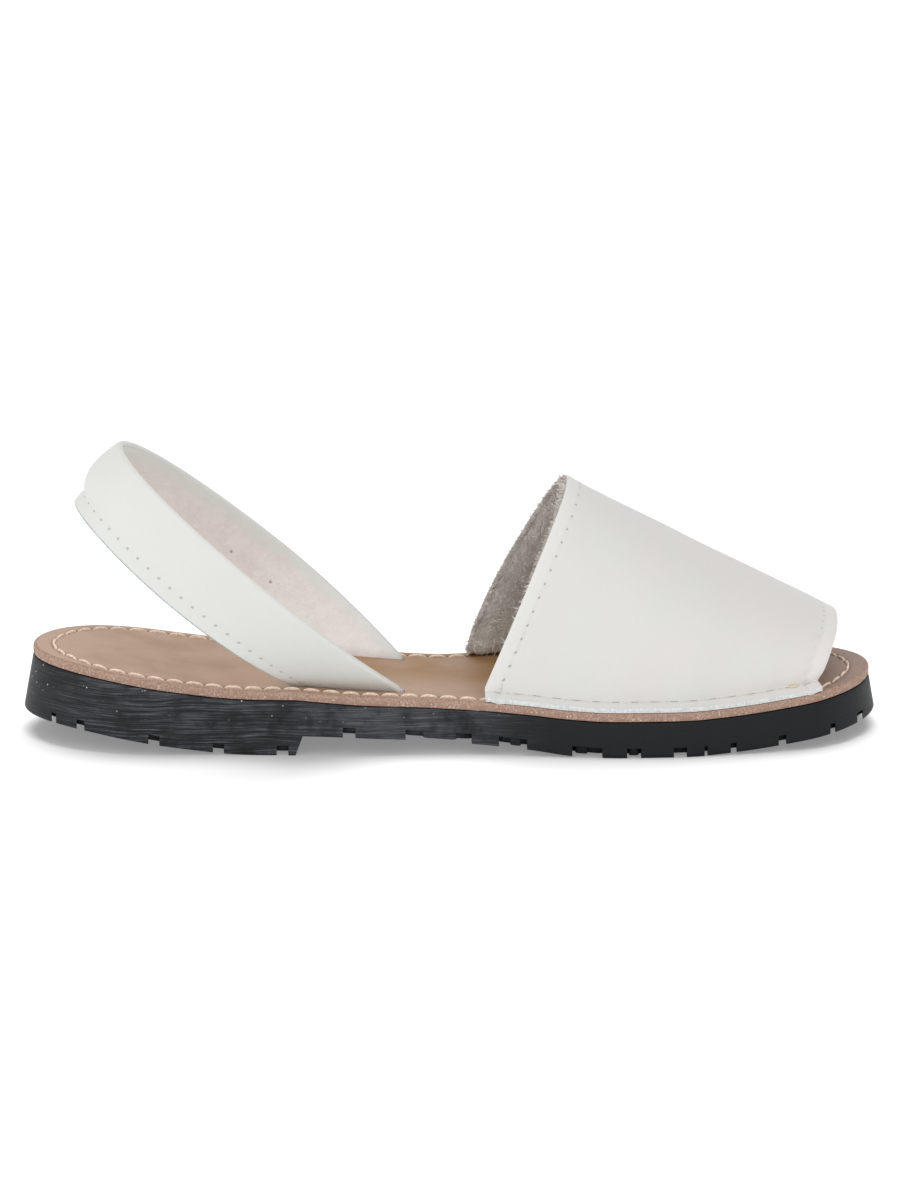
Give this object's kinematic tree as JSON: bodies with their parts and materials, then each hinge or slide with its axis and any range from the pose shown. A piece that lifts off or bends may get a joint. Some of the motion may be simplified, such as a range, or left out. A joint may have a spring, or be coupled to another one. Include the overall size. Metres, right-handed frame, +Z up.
{
  "type": "avarca sandal",
  "caption": "Flat open-toed slingback sandal for the right foot: leather band over the forefoot, slanting heel strap, stitched leather insole and lugged rubber sole.",
  "frame": {"origin": "on the floor, in the middle of the heel's flat spot, on the line from the heel's centre to the toe's tip", "axes": "+X towards the toe, +Y towards the medial side, +Z up"},
  "size_m": [0.255, 0.0866, 0.0886],
  "materials": {
    "sole_rubber": "matt black rubber with buffed sides",
    "insole_leather": "smooth tan leather with a burnished edge",
    "upper_leather": "smooth matt white leather with a suede inside",
    "strap_leather": "smooth matt white leather, lined"
  },
  "bodies": {
    "root": {"outsole": "sole_rubber", "insole": "insole_leather", "vamp": "upper_leather", "heel_strap": "strap_leather"}
  },
  "joints": []
}
